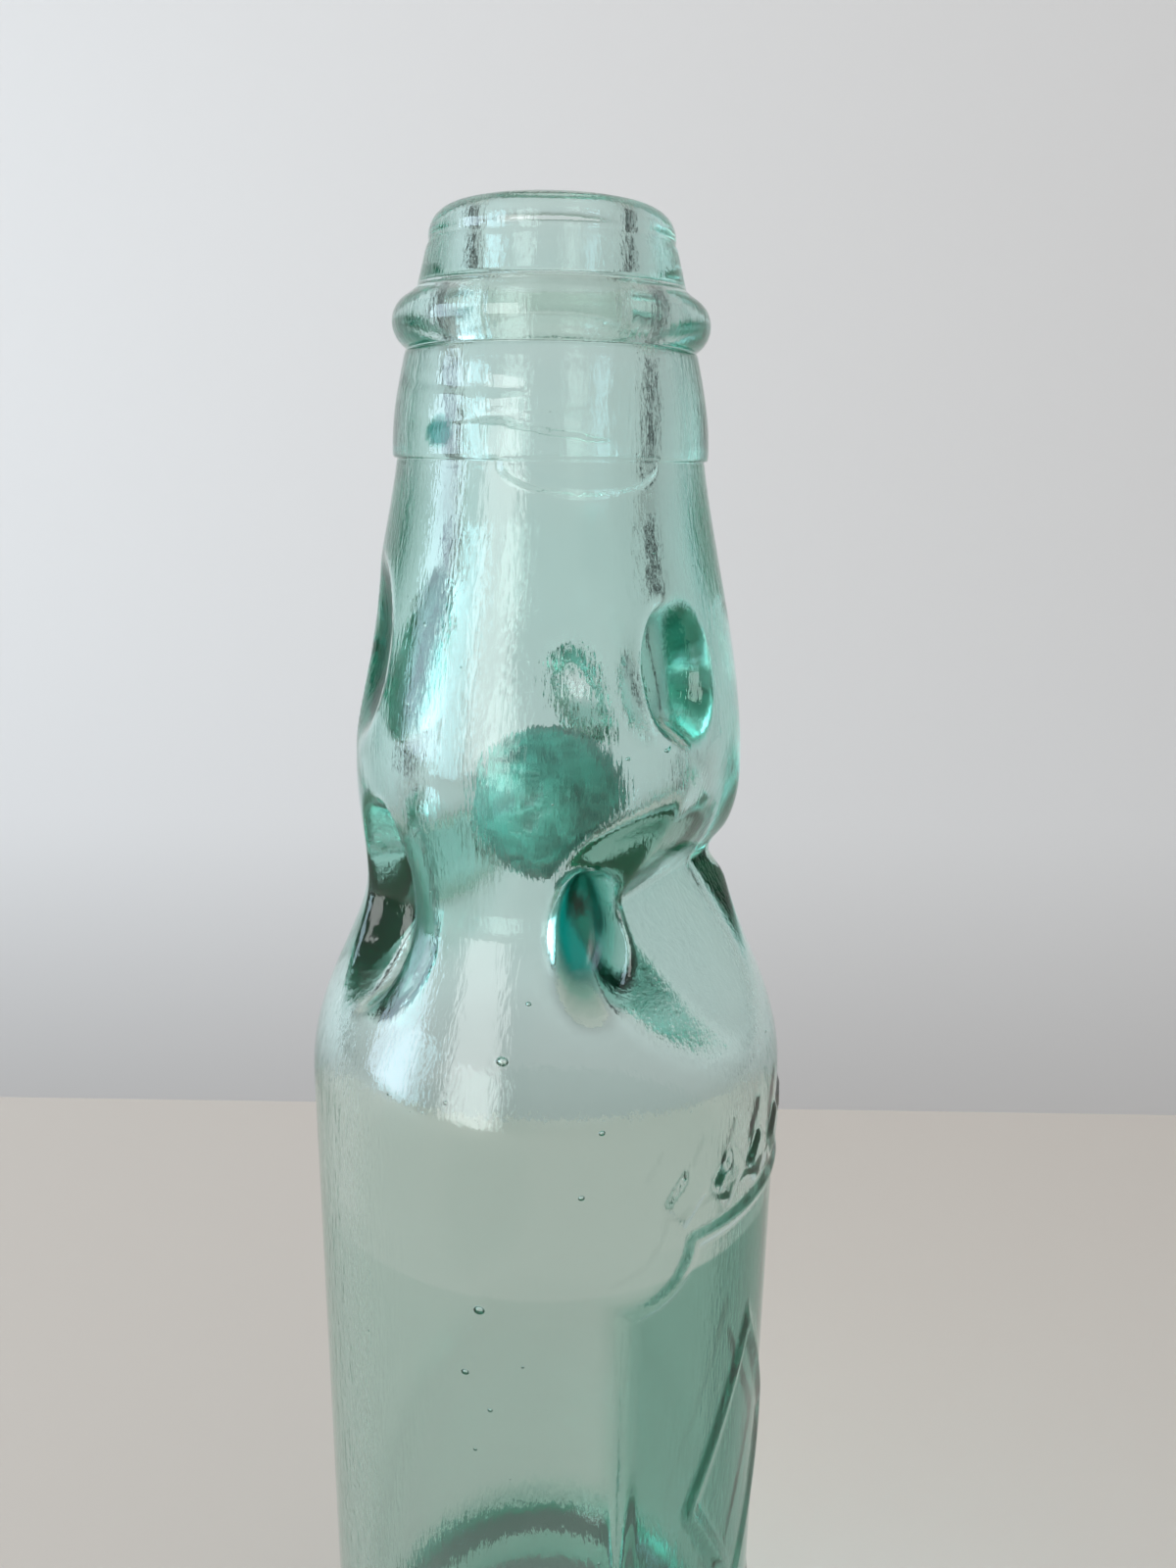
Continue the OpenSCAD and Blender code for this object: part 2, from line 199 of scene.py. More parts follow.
def egg(a, z, press, wall=0.0):
    """Radius of the near side of an egg, grown by wall, or a large number beside it.

    The egg leans in the plane that faces the axis, and a ray from the axis meets it where
    a quadratic in the radius is zero."""
    at, near, z0, half_w, half_h, lean = press
    path, half_w, half_h = near + half_w, half_w + wall, half_h + wall
    d, up, lean = apart(a, at), z - z0, math.radians(lean)
    c, s = np.cos(d), np.sin(d)
    across, along = math.cos(lean), math.sin(lean)
    square = (c**2 + (s * across) ** 2) / half_w**2 + (s * along) ** 2 / half_h**2
    leaning = 2 * s * up * across * along * (1 / half_w**2 - 1 / half_h**2)
    linear = -2 * path * c / half_w**2 + leaning
    rest = (path**2 + (up * along) ** 2) / half_w**2 + (up * across) ** 2 / half_h**2 - 1
    room = linear**2 - 4 * square * rest
    side = (-linear - np.sqrt(np.clip(room, 0, None))) / (2 * square)
    return np.where((room > 0) & (c > 0), side, NO_PRESS)


def bar(a, at, side):
    """Radius at which a straight bar is met: the distance of its side over cos(d).

    A ray that runs nearly along the bar, with a cosine under 0.05, doesn't meet it."""
    c = np.cos(apart(a, at))
    return np.where(c > 0.05, side / np.maximum(c, 0.05), NO_PRESS)


def soften(field, passes):
    """Averages a field with its neighbours: (before + 2 here + after) / 4, both ways."""
    for _ in range(passes):
        field = (np.roll(field, 1, 1) + 2 * field + np.roll(field, -1, 1)) / 4
        padded = np.pad(field, ((1, 1), (0, 0)), mode="edge")
        field = (padded[:-2] + 2 * field + padded[2:]) / 4
    return field


def groove_side(z):
    """Distance of a groove's side: the more of far sqrt(1 - (down / tall)^2) and slope."""
    drop = (GROOVE_TOP - z) / GROOVE_TALL
    above = GROOVE_FAR * np.sqrt(np.clip(1 - drop**2, 0.01, 1))
    below = GROOVE_NEAR + GROOVE_SLOPE * (GROOVE_Z - z)
    return np.where(z > GROOVE_TOP, NO_PRESS, np.maximum(above, below))


def jaw_side(z):
    """Distance of a jaw's side from the axis.

    Above the waist it is far - sqrt(round^2 - rise^2), a round for the marble. Below it is
    near + slope (hypot(rise, nose) - nose), a straight line with a rounded start."""
    rise = z - WAIST_Z
    seat = SEAT_FAR - np.sqrt(np.clip(SEAT_ROUND**2 - rise**2, 0, None))
    slope = JAW_NEAR + JAW_SLOPE * (np.hypot(rise, JAW_ROUND) - JAW_ROUND)
    return np.where(rise > 0, np.where(rise < SEAT_ROUND, seat, NO_PRESS), slope)


def pressed_fields():
    """Outside and hollow between body and lip, each the least radius of wall and presses."""
    a, z = np.meshgrid(GRID_A, GRID_Z)
    outside, hollow = outer_wall(z), inner_wall(z)
    for at, shallower in GROOVES:
        outside = np.minimum(outside, bar(a, at, groove_side(z) + shallower))
        hollow = np.minimum(hollow, bar(a, at, jaw_side(z)))
    for press in PRESSES:
        outside = np.minimum(outside, egg(a, z, press))
    for press, wall in WALLED:
        hollow = np.minimum(hollow, egg(a, z, press, wall))
    return soften(outside, OUTSIDE_PASSES), soften(hollow, HOLLOW_PASSES)


OUTSIDE_FIELD, HOLLOW_FIELD = pressed_fields()
print("narrowest radius outside and inside:",
      round(OUTSIDE_FIELD.min(), 1), round(HOLLOW_FIELD.min(), 1), "mm")

# %% [markdown]
# ## Painted shade where the glass looks deep
#
# In the pits and lugs light crosses the glass at a slant and more than once, so they look
# deep teal. Absorption along those ways alone came out too pale here, so the missing
# darkness is painted shade in the base colour. It could be painted as an image. Instead it
# is a third field, from 0 for no painted shade to 1 for the most, because it can use the
# same formulas as the presses.

# %% Field of the painted shade
# The long pit's painted shade is wider than the pit and reaches further towards the camera
LONG_PIT_SHADE_AREA = (161.0, 17.4, 147.0, 6.6, 12.5, 0)
# Painted shade that each pit gets, from 0 to 1
PIT_SHADES = (DEEP_PIT, 1.0), (LONG_PIT_SHADE_AREA, 0.95), (SMALL_PIT, 0.7), (WIDE_PIT, 0.3)
# Tall lug: where between middle and rim its painted dark ring lies, how wide it is, and
# the painted shade of ring and middle. Low lug and broad dent: their painted shade
LUG_RING, LUG_RING_W, LUG_RING_SHADE, LUG_CORE_SHADE = 0.72, 0.17, 0.85, 0.55
LOW_LUG_SHADE, BROAD_SHADE = 0.6, 0.95


def place_in(a, z, press):
    """How far out a point lies in a dent: hypot(across / width, along / height).

    It is 0 in the middle of the dent and 1 at its rim."""
    at, near, z0, half_w, half_h, lean = press
    d, up, lean = apart(a, at), z - z0, math.radians(lean)
    side = np.where(np.cos(d) > 0, (near + half_w) * np.sin(d), 99.0)
    across = side * math.cos(lean) + up * math.sin(lean)
    along = up * math.cos(lean) - side * math.sin(lean)
    return np.hypot(across / half_w, along / half_h)


def painted_shade_field():
    """The most painted shade that any dent gives at each place.

    With out for place_in, smooth((edge - out) / width) is full in the middle and gone at
    the edge. A pit is painted dark all over. The tall lug has a painted dark ring
    exp(-((out - 0.72) / 0.17)^2) round a fainter middle, the low lug has painted shade in
    its lower part, and the broad dent's painted shade grows between 0.3 and 1.5 mm of depth."""
    a, z = np.meshgrid(GRID_A, GRID_Z)
    tint_and_shade = np.zeros_like(a)
    for press, most in PIT_SHADES:
        tint_and_shade = np.maximum(tint_and_shade, most * smooth((1.05 - place_in(a, z, press)) / 0.2))
    out = place_in(a, z, TALL_LUG)
    ring = LUG_RING_SHADE * np.exp(-((out - LUG_RING) / LUG_RING_W) ** 2)
    tint_and_shade = np.maximum(tint_and_shade, np.maximum(ring, LUG_CORE_SHADE * smooth((0.8 - out) / 0.2)))
    lower = smooth((LOW_LUG[2] + 1 - z) / 3)
    out = place_in(a, z, LOW_LUG)
    tint_and_shade = np.maximum(tint_and_shade, LOW_LUG_SHADE * smooth((0.9 - out) / 0.3) * lower)
    depth = outer_wall(z) - egg(a, z, BROAD_DENT)
    tint_and_shade = np.maximum(tint_and_shade, BROAD_SHADE * smooth((depth - 0.3) / 1.2))
    return soften(tint_and_shade, SHADE_PASSES)


PAINTED_SHADE_FIELD = painted_shade_field()
print("share of the upper glass that is tinted by half or more:",
      round(float((PAINTED_SHADE_FIELD > 0.5).mean()), 3))


# %% Reading a field
def sample(field, a, z):
    """Reads a field between its grid points: the mean of the nearest four by nearness."""
    u = (a % 360) / STEP_A
    v = np.clip((z - GRID_Z[0]) / STEP_Z, 0, len(GRID_Z) - 1.001)
    i, j = u.astype(int), v.astype(int)
    fu, fv = u - i, v - j
    i, n = i % len(GRID_A), (i + 1) % len(GRID_A)
    low = field[j, i] * (1 - fu) + field[j, n] * fu
    high = field[j + 1, i] * (1 - fu) + field[j + 1, n] * fu
    return low * (1 - fv) + high * fv


print("outside radius in the deep pit:",
      round(float(sample(OUTSIDE_FIELD, np.array(DEEP_PIT[0]), np.array(DEEP_PIT[2]))), 2), "mm")

# %% [markdown]
# ## The relief on the front
#
# A frame with hollow corners, a plain diamond and a row of lozenges stand half a
# millimetre out of the front, as the mould's cuts left them. They could be separate bent
# strips, or bump in the material. A strip would show a seam, and bump has no outline at
# the bottle's edge, so they are height in the skin itself. Each is drawn as a distance d
# in millimetres from its outline, negative inside, on a flat sheet that is laid on the
# front. A line of width w along the inside of the outline is
#
# `height = 0.5 smooth(0.5 - (|d + w / 2| - w / 2) / softness)`
#
# and the softness of 1.2 mm rounds its edges as blowing did.

# %% Height of the relief
RELIEF, LINE, SOFT = 0.5, 1.5, 1.2
# Frame: half width, height of its middle, half height, radius of its hollow corners
PANEL_X, PANEL_Z, PANEL_H, CORNER = 20.5, 68, 42, 7.5
# Diamond and lozenges: half width and half height
DIAMOND_W, DIAMOND_H = 12, 24
LOZENGE_W, LOZENGE_H, LOZENGE_Z, LOZENGE_STEP = 2.6, 3.6, 115.5, 41.0 / 6


def frame_distance(x, z):
    """Distance from the frame's outline: a rectangle whose corners are cut by circles."""
    px, pz = np.abs(x) - PANEL_X, np.abs(z - PANEL_Z) - PANEL_H
    box = np.minimum(np.maximum(px, pz), 0) + np.hypot(np.maximum(px, 0), np.maximum(pz, 0))
    corner = CORNER - np.hypot(px, pz)
    return np.maximum(box, corner)


def rhombus_distance(x, z, w, h):
    """Distance from the sides of a rhombus: (|x| h + |z| w - w h) / hypot(w, h)."""
    return (np.abs(x) * h + np.abs(z) * w - w * h) / math.hypot(w, h)


def raised_line(d):
    """A line along the inside of an outline: smooth(0.5 - (|d + w / 2| - w / 2) / soft)."""
    return smooth(0.5 - (np.abs(d + LINE / 2) - LINE / 2) / SOFT)


def relief_height(x, z):
    """Height over the body: the most of frame, diamond and five solid lozenges, times 0.5."""
    diamond = rhombus_distance(x, z - PANEL_Z, DIAMOND_W, DIAMOND_H)
    height = np.maximum(raised_line(frame_distance(x, z)), raised_line(diamond))
    nearest = np.clip(np.round(x / LOZENGE_STEP), -2, 2) * LOZENGE_STEP
    lozenge = rhombus_distance(x - nearest, z - LOZENGE_Z, LOZENGE_W, LOZENGE_H)
    return RELIEF * np.maximum(height, smooth(0.5 - lozenge / SOFT))


print("height of a lozenge's middle:", round(float(relief_height(0.0, LOZENGE_Z)), 2), "mm")

# %% [markdown]
# ## Where the lip's glass laps over the neck
#
# The maker put the marble in, laid hot glass round the tip of the neck and tooled it to a
# lip. Some of it ran down the neck as a thin tongue, and the tool left shallow laps on the
# collar. They could be modelled as pieces of their own, but on the real bottle nothing
# parts them from the neck, so they are small heights added to the skin.

# %% Tongue and laps
# Tongue: direction of its middle, half its angle, how far it hangs, how far it stands out
TONGUE_A, TONGUE_HALF, TONGUE_DROP, TONGUE_OUT = -137, 28, 3.4, 0.45
# Laps: direction, half angle, height, and how much they rise along that half angle
LAPS = (-187, 30, 206.3, -0.6), (-165, 38, 203.4, 1.4), (-150, 24, 202.2, -1.0)
LAP_DEPTH, LAP_WIDTH = 0.28, 0.45
# The heights between which the skin has any of them
LAPS_FROM, LAPS_TO = 190, 210.3


def lap_relief(a, z):
    """Height of the tongue under the collar less the depth of the laps on the collar.

    The tongue's lower edge is the arc `z = seat - drop sqrt(1 - (d / half)^2)`, where d is
    the angle from its middle. A lap is `depth exp(-((z - line) / width)^2)` round its own
    line, and fades to its ends by `sqrt(1 - d^2)`."""
    d = np.degrees(apart(a, TONGUE_A))
    edge = SEAT_Z - TONGUE_DROP * np.sqrt(np.clip(1 - (d / TONGUE_HALF) ** 2, 0, 1))
    on_tongue = (np.abs(d) < TONGUE_HALF) * (z < SEAT_Z + 0.1)
    raised = TONGUE_OUT * smooth((z - edge + 0.5) / 0.9) * on_tongue
    for at, half, z0, tilt in LAPS:
        d = np.degrees(apart(a, at)) / half
        fade = np.sqrt(np.clip(1 - d**2, 0, 1))
        raised = raised - LAP_DEPTH * fade * np.exp(-((z - z0 - tilt * d) / LAP_WIDTH) ** 2)
    return raised


print("tongue hangs", TONGUE_DROP, "mm under the collar, with", len(LAPS), "laps above it")

# %% [markdown]
# ## One skin of glass
#
# The bottle has one unbroken surface: the underside, the outside, the rim, the bore and
# the hollow. Two shells with a gap between them would look the same from far away, but
# light bends where it enters glass and where it leaves it, so the skin has to be closed.
# It is a grid. Its rows run from the middle of the underside up the outside, over the rim,
# down through the bore and the hollow to the middle of the floor inside. They lie closer
# together at the relief and the presses. The columns lie closest between the panel and
# the deep pit, on the side that the camera sees.

# %% Columns
COLUMNS = 230
CROWDING, CROWDED_AT = 0.45, -115


def column_angles():
    """Angles of the columns: u - 0.45 sin(u) - 115 degrees, where u goes evenly round."""
    u = np.linspace(0, 2 * math.pi, COLUMNS, endpoint=False)
    return np.degrees(u - CROWDING * np.sin(u)) + CROWDED_AT


gaps = np.diff(column_angles())
print("columns lie", round(gaps.min(), 2), "to", round(gaps.max(), 2), "degrees apart")

# %% Rows
# Finish outside: collar and bead, then the two ends of the lip, then the round of the rim
COLLAR_R, COLLAR_TAPER, COLLAR_Z, COLLAR_H = 18.7, 1.7, 199.2, 11.2
BEAD_R, BEAD_Z, BEAD_ROUND = 15.2, 213.5, 3.2
LIP_LOW, LIP_HIGH = (15.5, 217.2), (14.2, 222.2)
RIM_R, RIM_Z, RIM_ROUND = 10.9, 222.6, 3.2
RIM_IN_R, RIM_IN_Z, RIM_IN_ROUND = 10.4, 223.7, 2.1
# The step where the finish lies on the neck, as radius and height
SEAT_STEP = np.array([[NECK_R, 198.45], [NECK_R, SEAT_Z], [18.5, 198.66], [18.66, 198.85]])
# The mouth's bore, and the ring's groove with its corners a little broken
MOUTH_R, MOUTH_TOP, MOUTH_LOW = 8.3, 223.2, 217.0
RING_GROOVE = np.array([
    [MOUTH_R, 216.82], [8.5, 216.8], [12.3, 216.8], [12.4, 216.7],
    [12.4, 214.0], [12.4, 211.3], [12.3, RING_Z], [11.3, RING_Z]])
# Radius of the first row on the flat foot, just outside the rise
FOOT_R = 21
# Heights of the rows on the walls, from, to and step
OUTSIDE_STEPS = (
    (7, 24, 3.0), (24, 37, 0.8), (37, 98, 1.3), (98, 122, 0.62), (122, 134, 1.2),
    (134, 193, 0.85), (193, 198.3, 0.4))
HOLLOW_STEPS = (
    (198, 168, -1.6), (168, 128, -1.05), (128, 120, -1.3), (119, FLOOR + HEEL_IN, -5.0))


def arc(centre, radius, start, end, steps):
    """Points of a round about a centre: centre + radius (cos a, sin a), a in degrees."""
    a = np.radians(np.linspace(start, end, steps))
    return np.stack([centre[0] + radius * np.cos(a), centre[1] + radius * np.sin(a)], 1)


def straight(a, b, steps):
    """Points on the straight line a (1 - t) + b t, without b itself."""
    t = np.linspace(0, 1, steps + 1)[:-1, None]
    return np.array(a) * (1 - t) + np.array(b) * t


def join(parts, wall):
    """Joins parts of a profile, and says for each row whether it belongs to the wall."""
    follows = np.concatenate([np.full(len(part), part is wall) for part in parts])
    return np.concatenate(parts), follows


def outside_rows():
    """Rows of the outside as radius and height, and whether each follows the wall.

    The underside rises to its middle by push_up (1 - bend(t)), the collar narrows by
    taper bend(t, 90), and heel, bead and rim are rounds."""
    t = np.linspace(0, 1, 15)[1:]
    under = np.stack([HOLLOW_R * t, PUSH_UP * (1 - bend(t))], 1)
    foot = straight((FOOT_R, 0), (BODY_R - HEEL, 0), 3)
    heel = arc((BODY_R - HEEL, HEEL), HEEL, -90, 0, 9)
    heights = np.concatenate([np.arange(*steps) for steps in OUTSIDE_STEPS])
    wall = np.stack([outer_wall(heights), heights], 1)
    t = np.linspace(0, 1, 22)
    collar = np.stack([COLLAR_R - COLLAR_TAPER * bend(t, 90), COLLAR_Z + COLLAR_H * t], 1)
    bead = arc((BEAD_R, BEAD_Z), BEAD_ROUND, -68, 62, 15)
    lip = straight(LIP_LOW, LIP_HIGH, 7)
    rim = arc((RIM_R, RIM_Z), RIM_ROUND, -10, 90, 11)
    rim_in = arc((RIM_IN_R, RIM_IN_Z), RIM_IN_ROUND, 90, 180, 8)
    return join([under, foot, heel, wall, SEAT_STEP, collar, bead, lip, rim, rim_in], wall)


def hollow_rows():
    """Rows of bore and hollow as radius and height, from the mouth down to the floor.

    The floor inside rises to its middle by push_up (1 - bend(t)), as the underside does."""
    mouth = straight((MOUTH_R, MOUTH_TOP), (MOUTH_R, MOUTH_LOW), 6)
    bore = straight((BORE_R, 211.0), (BORE_R, 198), 6)
    heights = np.concatenate([np.arange(*steps) for steps in HOLLOW_STEPS])
    heights = np.append(heights, FLOOR + HEEL_IN)
    wall = np.stack([inner_wall(heights), heights], 1)
    heel = arc((BODY_R - WALL - HEEL_IN, FLOOR + HEEL_IN), HEEL_IN, 0, -90, 9)[1:]
    t = np.linspace(1, 0, 9)[1:-1]
    floor = np.stack([FLOOR_R * t, FLOOR + PUSH_UP * (1 - bend(t))], 1)
    return join([mouth, RING_GROOVE, bore, wall, heel, floor], wall)


OUTSIDE_ROWS, HOLLOW_ROWS = outside_rows(), hollow_rows()
print("rows outside and inside:", len(OUTSIDE_ROWS[0]), len(HOLLOW_ROWS[0]))


# %% Points of the skin
def turned(rows, follows, field):
    """A profile turned round the axis, whose wall over 105 mm has its radius from a field."""
    r, z = (np.repeat(rows[:, i:i + 1], COLUMNS, 1) for i in (0, 1))
    pressed = sample(field, np.broadcast_to(column_angles()[None, :], z.shape), z)
    return np.where(follows[:, None] & (z > PRESSED_FROM), pressed, r), z


def glass_grid():
    """Radius, height and side of every point of the skin, rows by columns.

    The relief is added to the wall where it looks forwards, and fades out at the heel and
    the shoulder. The side is true for the rows of the outside."""
    degrees = column_angles()[None, :]
    a = np.radians(degrees)
    r, z = turned(*OUTSIDE_ROWS, OUTSIDE_FIELD)
    front = smooth(-np.sin(a) * 3)
    on_body = smooth((z - 8) / 4) * smooth((125 - z) / 3)
    r = r + relief_height(r * np.cos(a), z) * front * on_body * OUTSIDE_ROWS[1][:, None]
    lapped = (z > LAPS_FROM) & (z < LAPS_TO)
    r = r + lap_relief(np.broadcast_to(degrees, z.shape), z) * lapped
    r_in, z_in = turned(*HOLLOW_ROWS, HOLLOW_FIELD)
    outer = np.arange(len(r) + len(r_in)) < len(r)
    return np.concatenate([r, r_in]), np.concatenate([z, z_in]), outer[:, None]


SKIN_R, SKIN_Z, OUTER = glass_grid()
print("grid of the skin:", SKIN_R.shape, "widest radius", round(SKIN_R.max(), 2), "mm")


# %% Tint and painted shade of the skin
# Tint of the plain body, painted shade in the panel, and tint of the bottom
BODY_TINT, PANEL_SHADE, BOTTOM_TINT = 0.13, 0.5, 0.3
# A dark spot in the collar: direction and half width in degrees, height and half height
SPOT_A, SPOT_W, SPOT_Z, SPOT_H = -188, 6.0, 201.4, 1.6
# The height over which the outside is the finish
FINISH_FROM = 198


def body_tint_and_panel_shade(x, z, a):
    """Tint of the body a little below the shoulder, and painted shade in the panel."""
    inside = smooth(0.5 - frame_distance(x, z) / 5) * (np.sin(a) < 0)
    return BODY_TINT * smooth((118 - z) / 20) + PANEL_SHADE * inside


def skin_tint_and_shade(r, z, outer):
    """The tint and painted shade of every point, from 0 for clear to 1 for the deepest teal.

    The pressed glass reads its painted shade, the body has its tint and the panel painted
    shade, the finish has one round spot, and the bottom gains its tint over 5 mm downwards."""
    degrees = column_angles()[None, :]
    a = np.radians(degrees)
    tint_and_shade = sample(PAINTED_SHADE_FIELD, np.broadcast_to(degrees, z.shape), z)
    tint_and_shade = np.where(outer & (z > PRESSED_FROM) & (z < FINISH_FROM), tint_and_shade, 0.0)
    tint_and_shade = np.where(outer & (z < PRESSED_FROM), body_tint_and_panel_shade(r * np.cos(a), z, a), tint_and_shade)
    across = np.degrees(apart(degrees, SPOT_A)) / SPOT_W
    spot = smooth((1.3 - across**2 - ((z - SPOT_Z) / SPOT_H) ** 2) / 0.5)
    tint_and_shade = np.where(outer & (z > FINISH_FROM), spot, tint_and_shade)
    bottom = BOTTOM_TINT * smooth((FLOOR + HEEL_IN - z) / 5)
    return np.where(z < FLOOR + HEEL_IN, bottom, tint_and_shade)


SKIN_TINT_AND_SHADE = skin_tint_and_shade(SKIN_R, SKIN_Z, OUTER)
print("tint of the skin: mean", round(SKIN_TINT_AND_SHADE.mean(), 3), "most", round(SKIN_TINT_AND_SHADE.max(), 3))


# %% From points to a mesh
def grid_faces(rows, cols):
    """Faces of a grid of points that goes round, as numbers of their corners.

    Four-sided faces join each row to the next. Two fans close the first and the last row
    on two poles, which come after the grid's own points."""
    i, j = np.meshgrid(np.arange(rows - 1), np.arange(cols), indexing="ij")
    n = (j + 1) % cols
    quads = np.stack([i * cols + j, i * cols + n, (i + 1) * cols + n, (i + 1) * cols + j], 2)
    j = np.arange(cols)
    n = (j + 1) % cols
    last = (rows - 1) * cols
    start = np.stack([np.full(cols, rows * cols), n, j], 1)
    end = np.stack([last + j, last + n, np.full(cols, rows * cols + 1)], 1)
    return quads.reshape(-1, 4), np.concatenate([start, end])


def new_piece(name, points, faces):
    """A smooth mesh object from points in millimetres and the corner numbers of its faces."""
    mesh = bpy.data.meshes.new(name)
    mesh.from_pydata((points * MM).tolist(), [], faces)
    mesh.polygons.foreach_set("use_smooth", np.ones(len(faces), bool))
    mesh.update()
    made = bpy.data.objects.new(name, mesh)
    bpy.context.collection.objects.link(made)
    return made


def loft(name, x, y, z, low, high, cavities=None):
    """A closed piece from a grid of points and its two poles, with cavities added to it."""
    rows, cols = x.shape
    quads, fans = grid_faces(rows, cols)
    points = np.concatenate([np.stack([x, y, z], 2).reshape(-1, 3), [low, high]])
    faces = quads.tolist() + fans.tolist()
    if cavities:
        more, four, three = cavities
        faces += (four + len(points)).tolist() + (three + len(points)).tolist()
        points = np.concatenate([points, more])
    return new_piece(name, points, faces)


print("faces of a grid of 3 rows and 4 columns:", sum(map(len, grid_faces(3, 4))))

# %% [markdown]
# ## Bubbles in the glass
#
# Old glass is full of gas bubbles, which glass makers call seeds. A bubble could be a
# painted spot, but it bends the light behind it, so each is a small cavity in the wall,
# flattened between outside and hollow as blowing left it. Five have chosen places, and the
# others are drawn at random over the side that the camera sees, from a fixed start, so
# each run gives the same bottle.

# %% Seeds
SEED_A = [-158.5, -162.5, -166, -140, -171]
SEED_Z = [133.0, 102.5, 93.4, 118.0, 128.0]
SEED_HALF = [0.75, 0.7, 0.5, 0.4, 0.3]
MORE_SEEDS = 41
SEEDS = len(SEED_A) + MORE_SEEDS
SEED_ROWS, SEED_COLS = 5, 12
SEED_POINTS = SEED_ROWS * SEED_COLS + 2
# Shape of a bubble: through the wall, round the bottle and up
SEED_SHAPE = np.array([0.6, 1.0, 0.8])
# How far a bubble lies on the way from the hollow to the outside
SEED_PLACE = 0.6


def wall_at(a, z):
    """Radius of outside and hollow at a direction and height, pressed or plain."""
    pressed = z > PRESSED_FROM
    outside = np.where(pressed, sample(OUTSIDE_FIELD, a, z), outer_wall(z))
    return outside, np.where(pressed, sample(HOLLOW_FIELD, a, z), inner_wall(z))


def seeds():
    """Points and faces of the gas bubbles that froze in the glass, each a small egg.

    An egg is `centre + half (cos u cos v, sin u cos v, sin v)`, turned to its place on the
    wall. Its faces look into the bubble, because that is where the glass ends."""
    draw = np.random.default_rng(7)
    at = np.concatenate([SEED_A, draw.uniform(-235, -75, MORE_SEEDS)])
    z0 = np.concatenate([SEED_Z, draw.uniform(30, 192, MORE_SEEDS)])
    half = np.concatenate([SEED_HALF, 0.12 + 0.3 * draw.random(MORE_SEEDS) ** 3])
    outside, hollow = wall_at(at, z0)
    r0 = hollow + SEED_PLACE * (outside - hollow)
    u = np.linspace(0, 2 * math.pi, SEED_COLS, endpoint=False)[None, :]
    v = np.radians(np.linspace(-90, 90, SEED_ROWS + 2)[1:-1])[:, None]
    ball = np.stack([np.cos(u) * np.cos(v), np.sin(u) * np.cos(v), np.sin(v) + 0 * u], 2)
    ball = np.concatenate([ball.reshape(-1, 3), [[0, 0, -1.0], [0, 0, 1.0]]])
    flat = half[:, None, None] * ball * SEED_SHAPE
    c, s = np.cos(np.radians(at))[:, None], np.sin(np.radians(at))[:, None]
    x = r0[:, None] * c + flat[..., 0] * c - flat[..., 1] * s
    y = r0[:, None] * s + flat[..., 0] * s + flat[..., 1] * c
    points = np.stack([x, y, z0[:, None] + flat[..., 2]], 2).reshape(-1, 3)
    quads, fans = grid_faces(SEED_ROWS, SEED_COLS)
    first = np.arange(SEEDS)[:, None, None] * SEED_POINTS
    quads, fans = quads[:, [0, 3, 2, 1]] + first, fans[:, [0, 2, 1]] + first
    return points, quads.reshape(-1, 4), fans.reshape(-1, 3)


print("bubbles:", SEEDS, "the largest", 2 * SEED_HALF[0], "mm wide")


# %% The glass itself
def triangles(piece):
    """How many triangles a piece has: each face counts its corners less two."""
    return sum(len(face.vertices) - 2 for face in piece.data.polygons)


def make_glass():
    """The skin, with its bubbles, and its tint and painted shade as an attribute of its points.

    Blender gives clear glass nearly the lamp shadow of a solid, and real glass hardly has
    one, so the skin casts none."""
    a = np.radians(column_angles())[None, :]
    x, y = SKIN_R * np.cos(a), SKIN_R * np.sin(a)
    low, high = (0, 0, PUSH_UP), (0, 0, FLOOR + PUSH_UP)
    made = loft("bottle_glass", x, y, SKIN_Z, low, high, seeds())
    poles, bubbles = [BOTTOM_TINT, BOTTOM_TINT], np.zeros(SEEDS * SEED_POINTS)
    values = np.concatenate([SKIN_TINT_AND_SHADE.ravel(), poles, bubbles]).astype(np.float32)
    made.data.attributes.new("tint_and_painted_shade", "FLOAT", "POINT").data.foreach_set("value", values)
    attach(made, "bottle")
    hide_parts("glass_body", "applied_finish")
    made.visible_shadow = False
    return made


glass = make_glass()
print("glass skin:", len(glass.data.vertices), "points,", triangles(glass), "triangles")

# %% [markdown]
# ## The marble
#
# The stopper is a ball of solid glass, and such a ball is never perfectly round. A
# ready-made sphere would be, and its place would be in its object and not in its mesh. So
# it is a grid from pole to pole whose radius is less by up to 0.06 mm.

# %% Marble
MARBLE_OUT, MARBLE_ROWS, MARBLE_COLS = 0.06, 60, 120


def make_marble():
    """The ball: `r = radius - 0.06 (1 + sin(2 lon + 1) cos(lat)^2) / 2`, pole to pole."""
    lat = np.radians(np.linspace(-90, 90, MARBLE_ROWS + 2)[1:-1])[:, None]
    lon = np.linspace(0, 2 * math.pi, MARBLE_COLS, endpoint=False)[None, :]
    r = MARBLE_R - MARBLE_OUT * (1 + np.sin(2 * lon + 1) * np.cos(lat) ** 2) / 2
    x, y = r * np.cos(lat) * np.cos(lon), r * np.cos(lat) * np.sin(lon)
    z = MARBLE_Z + r * np.sin(lat) + 0 * lon
    pole = MARBLE_R - MARBLE_OUT / 2
    made = loft("marble_ball", x, y, z, (0, 0, MARBLE_Z - pole), (0, 0, MARBLE_Z + pole))
    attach(made, "marble")
    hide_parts("marble")
    return made


marble = make_marble()
print("marble:", [round(v / MM, 2) for v in marble.dimensions], "mm,",
      triangles(marble), "triangles")

